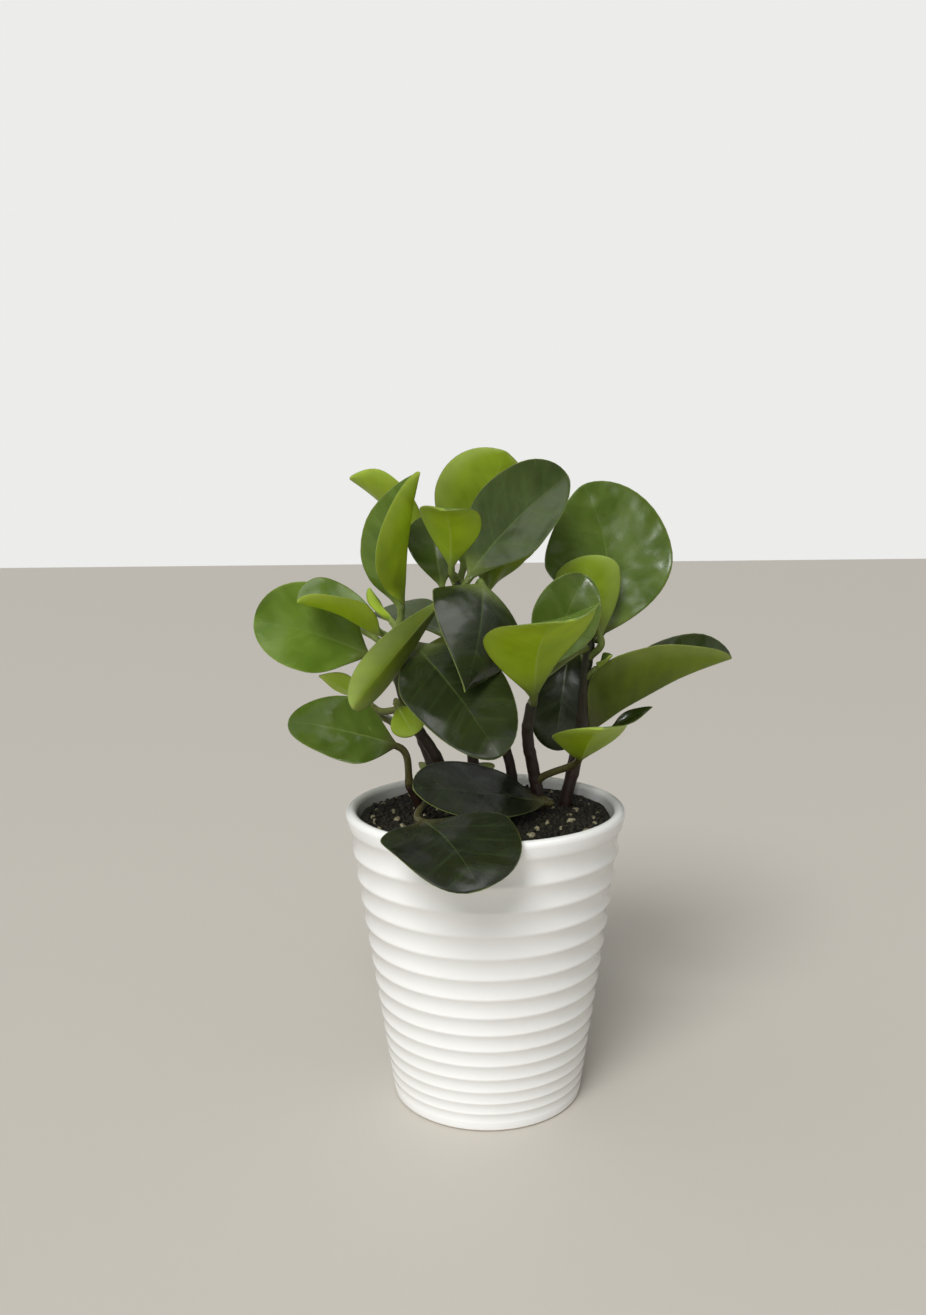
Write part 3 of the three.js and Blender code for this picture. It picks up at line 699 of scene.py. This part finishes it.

# The leaves
# Thick, juicy, oval leaves, each with its own round stalk: dark green and waxy above, satin yellow-green
# below, with a keel under the midrib, faint arched veins and a thin pale rim that is a painted highlight
# along the edge.
# Each one is lofted from its stalk's start inside the stem to its tip.
STALK_RADIUS = 1.6 * MM
STALK_BEND = 0.35
STALK_LIFT = 0.4
BLADE_THICKNESS = 1.3 * MM
BLADE_START = 0.22
USUAL_WIDEST = 0.56
USUAL_TAPER = 0.5
SHOULDER = 1.15
SOFT_FOLD = 10
SOFT_FOLD_CURVE = 1.8
SHARP_FOLD = 40
SHARP_FOLD_CURVE = 1.3
STALK_ROUNDNESS = 0.5
BLADE_ROUNDNESS = 0.4
GROOVE_DEPTH = 0.35 * MM
GROOVE_WIDTH = 1.4 * MM
KEEL_WIDTH = 2.2 * MM
KEEL_FADE = 1.5
VEIN_SPACING = 10 * MM
VEIN_SLANT = 0.6
VEIN_RELIEF = 0.02 * MM
EDGE_WAVE = 0.7 * MM
EDGE_WAVE_TURNS = 9
BUCKLE_LENGTH = 18 * MM
BUCKLE_HEIGHT = 0.9 * MM
SHEATH_START = 0.75
SHEATH_SWELLING = 0.3
RING_SIDES = 48
STALK_RINGS = 12
BLADE_RINGS = 26

# Each leaf, as on the solids and in mm: its stem and how far up that, the foot and tip of its blade, the
# way that its upper side faces, its width, how many degrees its halves fold up and its bow, with any
# sweep, twist, widest place and taper. Its tone runs from 0, dark, to 1, bright. It is partly the leaf's
# age, with old leaves dark and young ones bright, and partly painted shade and sheen: darker for leaves
# that lie in shadow and brighter for those that would catch a sheen.
LEAVES = {
    "leaf_01": dict(
        on=("middle", 0.97), foot=(-25, 31, 246), tip=(-61, 36, 279), faces=(6, 3.5, 7), width=46,
        fold=12, bow=3, taper=0.9, tone=1),
    "leaf_02": dict(
        on=("left", 1), foot=(-36, -6, 218), tip=(-27, -14, 279), faces=(-8.3, -5.6, 1.5), width=41,
        fold=53, bow=2, widest=0.4, twist=-24, taper=0.8, tone=0.78),
    "leaf_03": dict(
        on=("middle", 0.88), foot=(-9, 18, 236), tip=(11, 34, 290), faces=(-3, 9, 0), width=50, fold=10,
        bow=0, tone=0.25),
    "leaf_04": dict(
        on=("middle", 0.93), foot=(-7, 2, 232), tip=(37, -2, 277), faces=(-4, -8, 4), width=45, fold=14,
        bow=-2, sweep=5, widest=0.53, tone=0.25),
    "leaf_05": dict(
        on=("middle", 1), foot=(-14, -1, 237), tip=(-17, -36, 263), faces=(3, 10, 10), width=27,
        fold=10, bow=7, tone=1),
    "leaf_06": dict(
        on=("middle", 0.78), foot=(-18, 6, 228), tip=(-24, 7, 261), faces=(0, -10, 4), width=24,
        fold=10, bow=2, widest=0.7, tone=0.4),
    "leaf_07": dict(
        on=("middle", 0.7), foot=(1, 8, 226), tip=(27, 16, 254), faces=(-8, 12, 5), width=18, fold=10,
        bow=2, sweep=-2, tone=0.5),
    "leaf_08": dict(
        on=("right", 1), foot=(52, 13, 205), tip=(46, 24, 274), faces=(0, -10, 2), width=59, fold=8,
        bow=-3, sweep=-8, widest=0.5, taper=0.6, tone=0.6),
    "leaf_09": dict(
        on=("right", 0.86), foot=(52, 2, 205), tip=(45, 12, 242), faces=(0, 10, 4), width=30, fold=8,
        bow=2, widest=0.78, tone=0.25),
    "leaf_10": dict(
        on=("right", 0.94), foot=(25, -9, 193), tip=(43, -10, 235), faces=(0, -10, 2), width=29, fold=8,
        bow=0, widest=0.55, tone=0.55),
    "leaf_11": dict(
        on=("fork", 0.98), foot=(21, -15, 181), tip=(31.5, -71, 221), faces=(-3.5, 6, 8), width=49,
        fold=8, bow=12, tone=1),
    "leaf_12": dict(
        on=("middle", 0.78), foot=(-1, -5, 231), tip=(-9, -47, 190), faces=(6, -10, 10), width=46,
        fold=-8, bow=4, widest=0.3, taper=1.1, sweep=1, twist=-30, tone=0.05),
    "leaf_13": dict(
        on=("left", 0.76), foot=(-32, -10, 207), tip=(5, -50, 164), faces=(5, -15, 8), width=45, fold=8,
        bow=4, widest=0.46, tone=0.06),
    "leaf_14": dict(
        on=("middle", 0.84), foot=(-17, -7, 226), tip=(-53, -58, 186), faces=(-8, 12, -2), width=18,
        fold=22, bow=2, widest=0.62, tone=0.1),
    "leaf_15": dict(
        on=("left", 0.72), foot=(-50, 0, 199), tip=(-99, -12, 216), faces=(0, -10, 6), width=44,
        fold=17, bow=2, sweep=-2, tone=1),
    "leaf_16": dict(
        on=("left", 0.8), foot=(-43, -5, 209), tip=(-79, -20, 225), faces=(2, -1.5, 10), width=36,
        fold=36, bow=2, tone=1),
    "leaf_17": dict(
        on=("low", 0.9), foot=(-38, -12, 161), tip=(-84, -22, 174), faces=(0, -10, 10), width=33,
        fold=8, bow=3, widest=0.42, tone=0.55),
    "leaf_18": dict(
        on=("left", 0.58), foot=(-50, 8, 175), tip=(-75, 14, 189), faces=(0, 10, 10), width=15, fold=8,
        bow=2, taper=0.8, tone=1),
    "leaf_19": dict(
        on=("left", 0.4), foot=(-38, -10, 179), tip=(-31, -12, 166), faces=(0, 10, 0), width=16, fold=8,
        bow=1, tone=0.6),
    "leaf_20": dict(
        on=("right", 0.3), foot=(46, 16, 161), tip=(110, 2, 197), faces=(-4, 5.5, 10), width=55,
        fold=46, bow=3, widest=0.36, twist=30, tone=0.1),
    "leaf_21": dict(
        on=("fork", 0.25), foot=(41, -10, 154), tip=(46, -46, 175), faces=(-2, 10, 20), width=32,
        fold=8, bow=2, tone=0.65),
    "leaf_22": dict(
        on=("back_right", 0.32), foot=(58, 24, 160), tip=(79, 24, 171), faces=(0, -10, 10), width=7,
        fold=20, bow=1, taper=1, tone=0.3),
    "leaf_23": dict(
        on=("right", 0.84), foot=(41, 28, 204), tip=(33, 25, 151), faces=(0, -20, 10), width=30, fold=8,
        bow=2, tone=0.05),
    "leaf_24": dict(
        on=("right", 0.74), foot=(50, 4, 192), tip=(56, -2, 199), faces=(-10, 0, 10), width=7, fold=30,
        bow=0, tone=0.5),
    "leaf_25": dict(
        on=("fork", 0.1), foot=(28, -8, 134), tip=(-31, -28, 146.5), faces=(0, -10, 20), width=40,
        fold=6, bow=1, tone=0),
    "leaf_26": dict(
        on=("left", 0.08), foot=(-27, -43, 136), tip=(-4, -85, 121), faces=(3, -8, 15), width=57,
        fold=10, bow=5, widest=0.45, taper=0.38, tone=0),
    "leaf_27": dict(
        on=("back", 0.86), foot=(-10, 46, 206), tip=(-12, 82, 164), faces=(0, 10, 10), width=42, fold=8,
        bow=6, tone=0.4),
    "leaf_28": dict(
        on=("back_right", 0.88), foot=(38, 48, 200), tip=(34, 84, 162), faces=(0, 10, 10), width=34,
        fold=8, bow=6, tone=0.5),
    "leaf_29": dict(
        on=("back_right", 0.98), foot=(56, 46, 212), tip=(68, 78, 256), faces=(0, -4, 10), width=46,
        fold=12, bow=5, tone=0.7),
    "leaf_30": dict(
        on=("back", 0.98), foot=(0, 42, 228), tip=(14, 68, 274), faces=(0, 10, 2), width=44, fold=12,
        bow=-4, tone=0.6),
    "leaf_31": dict(
        on=("back_left", 0.95), foot=(-51, 40, 203), tip=(-88, 64, 206), faces=(0, 3, 10), width=38,
        fold=12, bow=5, tone=0.5),
    "leaf_32": dict(
        on=("back_left", 0.45), foot=(-44, 40, 162), tip=(-74, 64, 158), faces=(0, 5, 10), width=34,
        fold=10, bow=5, tone=0.3),
    "leaf_33": dict(
        on=("back_right", 0.6), foot=(60, 44, 178), tip=(92, 68, 181), faces=(0, 3, 10), width=40,
        fold=12, bow=4, tone=0.45),
    "leaf_34": dict(
        on=("back", 0.08), foot=(-12, 50, 137), tip=(-14, 88, 119), faces=(0, 4, 10), width=40, fold=8,
        bow=4, tone=0.15),
    "leaf_35": dict(
        on=("left", 0.94), foot=(-40, 0, 214), tip=(-51, 6, 229), faces=(-10, 8, 4), width=7, fold=30,
        bow=1, tone=0.8),
    "leaf_36": dict(
        on=("middle", 0.62), foot=(-16, 22, 205), tip=(-52, 46, 214), faces=(1, -3, 10), width=34,
        fold=12, bow=4, tone=0.3),
}

# The skin of the leaves: a waxy cuticle that mirrors the window in soft broken patches, over dark green
# above and a satin yellow-green below. A thin pale rim along the edge is a painted highlight, and streaks
# carry painted sheen and shade. It reads the places on a leaf: from_midrib and from_edge in mm, share from
# the blade's foot to its tip, and vein, a count of veins.
leaf_skin, tree, shader = new_material("waxy leaf skin")
where = add_node(tree, "TexCoord").outputs["Object"]
read = {name: add_node(tree, "Attribute", attribute_name=name).outputs["Fac"]
        for name in ("upper", "stalk", "tone", "vein", "from_midrib", "from_edge", "share")}
patch = add_node(tree, "TexNoise", {"Vector": where, "Scale": 1 / (16 * MM), "Detail": 3.0})
ripple = add_node(tree, "TexNoise", {"Vector": where, "Scale": 1 / (12 * MM), "Detail": 1.0})
speck = add_node(tree, "TexNoise", {"Vector": where, "Scale": 1 / (1.1 * MM), "Detail": 2.0})

# Streaks that run with the veins: about 8 mm apart along the midrib, and twice as long. In the colours
# they are painted sheen and shade, lighter and darker bands that stand for the broken reflections of the
# waxy skin and the shading of its veins. In the shine they only dull the skin.
outwards = add_node(tree, "Math", {0: read["from_midrib"], 1: 1 / 20}, operation="MULTIPLY")
by_veins = add_node(tree, "CombineXYZ", {0: read["vein"], 1: outwards})
by_veins = add_node(tree, "VectorMath", {
    0: where, 1: (1 / (50 * MM),) * 3, 2: by_veins,
}, operation="MULTIPLY_ADD")
streak = add_node(tree, "TexNoise", {"Vector": by_veins, "Scale": 1.3, "Detail": 2.0})

# Veins: hardly seen, arching away in pairs from a thin, pale midrib that narrows to the tip
turns = add_node(tree, "Math", {0: read["vein"], 1: 0.5}, operation="PINGPONG")
thin_vein = add_node(tree, "MapRange", {0: turns, 1: 0.12, 2: 0.02}, interpolation_type="SMOOTHSTEP")
inside = add_node(tree, "MapRange", {0: read["from_edge"], 1: 1.5, 2: 6.0})
vein = add_node(tree, "Math", {0: thin_vein, 1: inside}, operation="MULTIPLY")
vein = add_node(tree, "Math", {0: vein, 1: 0.035}, operation="MULTIPLY")
half_midrib = add_node(tree, "MapRange", {0: read["share"], 3: 0.9, 4: 0.2})
narrow = add_node(tree, "Math", {0: read["from_midrib"], 1: half_midrib}, operation="DIVIDE")
midrib = add_node(tree, "MapRange", {0: narrow, 1: 1.0, 2: 0.3}, interpolation_type="SMOOTHSTEP")
fading = add_node(tree, "MapRange", {0: read["share"], 1: 0.4, 3: 0.22, 4: 0.08})
midrib = add_node(tree, "Math", {0: midrib, 1: fading}, operation="MULTIPLY")
by_age = add_node(tree, "MapRange", {0: read["tone"], 2: 0.5, 3: 0.5})
midrib = add_node(tree, "Math", {0: midrib, 1: by_age}, operation="MULTIPLY")

# The upper side, by its tone from nearly black to fresh green: old leaves dark and young ones bright, with
# painted shade on leaves in shadow and painted sheen on those that catch the light
# Random blotches plus the streaks, whose lighter and darker bands are painted sheen and shade
blotch_and_painted_streak = add_node(tree, "Math", {0: patch, 1: streak}, operation="ADD")
mottle_and_painted_sheen = add_node(tree, "MapRange", {0: blotch_and_painted_streak, 1: 0.7, 2: 1.3})
old_and_shaded_green = add_node(tree, "Mix", {0: mottle_and_painted_sheen, 6: "#171b12", 7: "#232a18"}, data_type="RGBA")
young_and_lit_green = add_node(tree, "Mix", {0: mottle_and_painted_sheen, 6: "#587222", 7: "#6e8832"}, data_type="RGBA")
top = add_node(tree, "Mix", {0: read["tone"], 6: old_and_shaded_green, 7: young_and_lit_green}, data_type="RGBA")
veined = add_node(tree, "Mix", {0: vein, 6: top, 7: "#6f9147"}, data_type="RGBA")
top = add_node(tree, "Mix", {0: midrib, 6: veined, 7: "#8ea35c"}, data_type="RGBA")

# The underside, olive at low tone and yellow-green at high tone, with a painted glow of light shining
# through it. It is darker at its foot, brighter towards its tip and paler along its edge, which are
# painted shade and sheen.
# Both greens are kept bright to stand for light shining through the thick leaf: a painted glow over its
# own yellow-green
old_and_shaded_green = add_node(tree, "Mix", {0: mottle_and_painted_sheen, 6: "#3f4c08", 7: "#505e10"}, data_type="RGBA")
young_and_lit_green = add_node(tree, "Mix", {0: mottle_and_painted_sheen, 6: "#97b414", 7: "#abc726"}, data_type="RGBA")
# Darker at the blade's foot and brighter towards its tip, added to the leaf's tone: painted shade and
# sheen
towards_tip = add_node(tree, "Math", {0: read["share"], 1: 0.45}, operation="SUBTRACT")
tone_with_painted_light = add_node(tree, "Math", {
    0: towards_tip, 1: 0.5, 2: read["tone"],
}, operation="MULTIPLY_ADD", use_clamp=True)
low = add_node(tree, "Mix", {0: tone_with_painted_light, 6: old_and_shaded_green, 7: young_and_lit_green}, data_type="RGBA")
veined = add_node(tree, "Mix", {0: vein, 6: low, 7: "#54701f"}, data_type="RGBA")
low = add_node(tree, "Mix", {0: midrib, 6: veined, 7: "#c2d286"}, data_type="RGBA")
# Paler along the edge, more so towards the tip: a painted sheen, the pale room mirrored at a grazing angle
painted_edge_sheen = add_node(tree, "MapRange", {
    0: read["from_edge"], 1: 10.0, 2: 1.0,
}, interpolation_type="SMOOTHSTEP")
painted_edge_sheen = add_node(tree, "Math", {0: painted_edge_sheen, 1: read["share"]}, operation="MULTIPLY")
painted_edge_sheen = add_node(tree, "Math", {0: painted_edge_sheen, 1: 0.2}, operation="MULTIPLY")
low = add_node(tree, "Mix", {0: painted_edge_sheen, 6: low, 7: "#b3bf8a"}, data_type="RGBA")

sides = add_node(tree, "Mix", {0: read["upper"], 6: low, 7: top}, data_type="RGBA")
# A thin pale line along the very edge: a painted highlight where the thick edge would catch the light
rim_highlight = add_node(tree, "MapRange", {0: read["from_edge"], 1: 0.5, 2: 0.15, 4: 0.45})
with_rim_highlight = add_node(tree, "Mix", {0: rim_highlight, 6: sides, 7: "#7c8b4a"}, data_type="RGBA")

# The stalk: olive brown on the low leaves, pale green on the high ones
up = add_node(tree, "SeparateXYZ", {0: where}).outputs[2]
rise = add_node(tree, "MapRange", {0: up, 1: 150 * MM, 2: 225 * MM}, interpolation_type="SMOOTHSTEP")
earthy = add_node(tree, "Mix", {0: speck, 6: "#38301c", 7: "#5a5830"}, data_type="RGBA")
fresh = add_node(tree, "Mix", {0: speck, 6: "#66762f", 7: "#8fa05a"}, data_type="RGBA")
flush = add_node(tree, "Mix", {0: rise, 6: earthy, 7: fresh}, data_type="RGBA")
full = add_node(tree, "Mix", {0: read["stalk"], 6: with_rim_highlight, 7: flush}, data_type="RGBA")

# The shine: glossy wax above and satin below, duller along the streaks, on a softly rippled skin
gloss = add_node(tree, "MapRange", {0: read["upper"], 3: 0.45, 4: 0.21})
dull = add_node(tree, "MapRange", {0: streak, 1: 0.35, 2: 0.65, 3: -0.05, 4: 0.1})
rough = add_node(tree, "Math", {0: gloss, 1: dull}, operation="ADD")
fine = add_node(tree, "Math", {0: speck, 1: 0.02, 2: ripple}, operation="MULTIPLY_ADD")
bump = add_node(tree, "Bump", {"Height": fine, "Strength": 0.5, "Distance": 2 * MM})
shine = add_node(tree, "MapRange", {0: read["upper"], 3: 0.25, 4: 0.5})
connect(shader, {
    "Base Color": full, "Roughness": rough, "Normal": bump, "IOR": 1.45, "Specular IOR Level": shine,
    "Subsurface Weight": 0.1, "Subsurface Scale": 1.5 * MM,
})


def smooth(low, high, value):
    """0 up to low and 1 from high, with a soft rise between them."""
    share = min(max((value - low) / (high - low), 0), 1)
    return share * share * (3 - 2 * share)


def outline(share, widest, taper):
    """Half the blade's width at a share of its length, for a full half width of 1."""
    if share < widest:
        return math.sin(math.pi / 2 * share / widest) ** SHOULDER
    return max(0, 1 - ((share - widest) / (1 - widest)) ** 2) ** taper


def frames_along(points, first_up):
    """At each point of a line: the point, the way on, and two crosswise ways that turn little."""
    frames = []
    up = first_up
    for i, point in enumerate(points):
        along = (points[min(i + 1, len(points) - 1)] - points[max(i - 1, 0)]).normalized()
        up = (up - along * up.dot(along)).normalized()
        frames.append((point, along, up, up.cross(along)))
    return frames


def on_stem(name, share):
    """The middle of a stem at a share of its length above the soil."""
    points, length = stem_lines[name]
    buried = (STEMS[name][0][0][2] * MM - STEM_FOOT) / length
    place = mix(buried, 1, share) * (len(points) - 1)
    before = min(int(place), len(points) - 2)
    return points[before].lerp(points[before + 1], place - before)


# Places across a blade from 1 to -1, close together at the edges and at the midrib
QUARTER = RING_SIDES // 4
HALF_ACROSS = [0.5 - 0.5 * math.cos(math.pi * k / QUARTER) for k in range(QUARTER + 1)]
ACROSS = HALF_ACROSS[:0:-1] + [-v for v in HALF_ACROSS]


def leaf_rings(leaf, number):
    """The rings of points of a leaf, from the stalk's start to the tip, and what its skin reads."""
    foot, tip = Vector(leaf["foot"]) * MM, Vector(leaf["tip"]) * MM
    chord = tip - foot
    straight = chord.normalized()
    up = Vector(leaf["faces"])
    up = (up - straight * up.dot(straight)).normalized()
    across = up.cross(straight)
    bow, sweep = leaf["bow"] * MM, leaf.get("sweep", 0) * MM
    widest, taper = leaf.get("widest", USUAL_WIDEST), leaf.get("taper", USUAL_TAPER)
    sharpness = smooth(SOFT_FOLD, SHARP_FOLD, leaf["fold"])
    fold_curve = mix(SOFT_FOLD_CURVE, SHARP_FOLD_CURVE, sharpness)

    def blade_point(share):
        arc = 4 * share * (1 - share)
        return foot + chord * share + (up * bow + across * sweep) * arc

    start = on_stem(*leaf["on"])
    bend = (foot - start).length * STALK_BEND
    into_blade = (blade_point(0.02) - foot).normalized()
    leaving = (foot - start).normalized() + Vector((0, 0, STALK_LIFT))
    controls = [start, start + leaving.normalized() * bend, foot - into_blade * bend, foot]

    def stalk_point(t):
        weights = [(1 - t) ** 3, 3 * t * (1 - t) ** 2, 3 * t * t * (1 - t), t**3]
        return sum((c * w for c, w in zip(controls, weights)), Vector())

    half = BLADE_RINGS // 2
    shares = [widest * k / half for k in range(half)]
    shares += [widest + (1 - widest) * math.sin(math.pi / 2 * k / half) for k in range(half)]
    blade_frames = frames_along([stalk_point(0.95)] + [blade_point(s) for s in shares], up)[1:]
    back = [stalk_point(1 - k / STALK_RINGS) for k in range(STALK_RINGS + 1)]
    stalk_frames = frames_along(back, blade_frames[0][2])[:0:-1]
    places = [(frame, 0, 1 - k / STALK_RINGS, True) for k, frame in enumerate(stalk_frames)]
    places += [(frame, share, 0, False) for frame, share in zip(blade_frames, shares)]

    rings, marks = [], []
    for (point, along, lift, sideways), share, down_stalk, on_stalk in places:
        if on_stalk:
            sideways = -sideways
        turn = Quaternion(along, math.radians(leaf.get("twist", 0)) * share)
        lift, sideways = turn @ lift, turn @ sideways
        flat = smooth(0, BLADE_START, share)
        blade_half = leaf["width"] / 2 * MM * outline(share, widest, taper)
        half_width = max(blade_half, STALK_RADIUS * (1 - flat))
        thick = min(mix(STALK_RADIUS, BLADE_THICKNESS / 2, flat), half_width)
        sheath = 1 + SHEATH_SWELLING * smooth(SHEATH_START, 1, down_stalk)
        keel = flat * STALK_RADIUS * (1 - share) ** KEEL_FADE
        fold = math.radians(leaf["fold"]) * flat
        ring = []
        for face in (1, -1):
            for v in (ACROSS if face > 0 else ACROSS[-2:0:-1]):
                x = abs(v) * half_width
                phase = number * 2 + (0 if v > 0 else 2)
                wave = EDGE_WAVE * flat * v * v * math.sin(share * EDGE_WAVE_TURNS + phase)
                raised = abs(v) ** fold_curve * half_width * math.sin(fold) + wave
                vein = (share * chord.length - VEIN_SLANT * x) / VEIN_SPACING
                body = thick * (1 - v * v) ** mix(STALK_ROUNDNESS, BLADE_ROUNDNESS, flat) * sheath
                raised += VEIN_RELIEF * flat * (1 - v * v) * math.cos(2 * math.pi * vein)
                if face > 0:
                    body -= GROOVE_DEPTH * flat * math.exp(-((x / GROOVE_WIDTH) ** 2)) * (1 - share)
                else:
                    body += keel * math.exp(-((x / KEEL_WIDTH) ** 2))
                spot = point + sideways * (v * half_width * math.cos(fold) * sheath) + lift * raised
                buckle = noise.noise(spot / BUCKLE_LENGTH + Vector((number, 0, 0))) * BUCKLE_HEIGHT
                ring.append(spot + lift * (buckle * flat + face * body))
                marks.append({
                    "upper": 0.5 if abs(v) == 1 else max(face, 0), "stalk": 1 - flat, "vein": vein,
                    "from_midrib": x / MM, "from_edge": (half_width - x) / MM, "share": share,
                })
        rings.append(ring)
    return rings, marks, blade_point(1)


for number, (name, leaf) in enumerate(LEAVES.items()):
    rings, marks, tip = leaf_rings(leaf, number)
    start = sum(rings[0], Vector()) / len(rings[0])
    mesh = skin(name, [[start]] + rings + [[tip]])
    marks = [marks[0]] + marks + [marks[-1]]
    for title in marks[0]:
        layer = mesh.attributes.new(title, "FLOAT", "POINT")
        layer.data.foreach_set("value", [mark[title] for mark in marks])
    layer = mesh.attributes.new("tone", "FLOAT", "POINT")
    layer.data.foreach_set("value", [leaf["tone"]] * len(marks))
    make_piece("thick_" + name, outward(mesh), name, leaf_skin)

low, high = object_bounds()
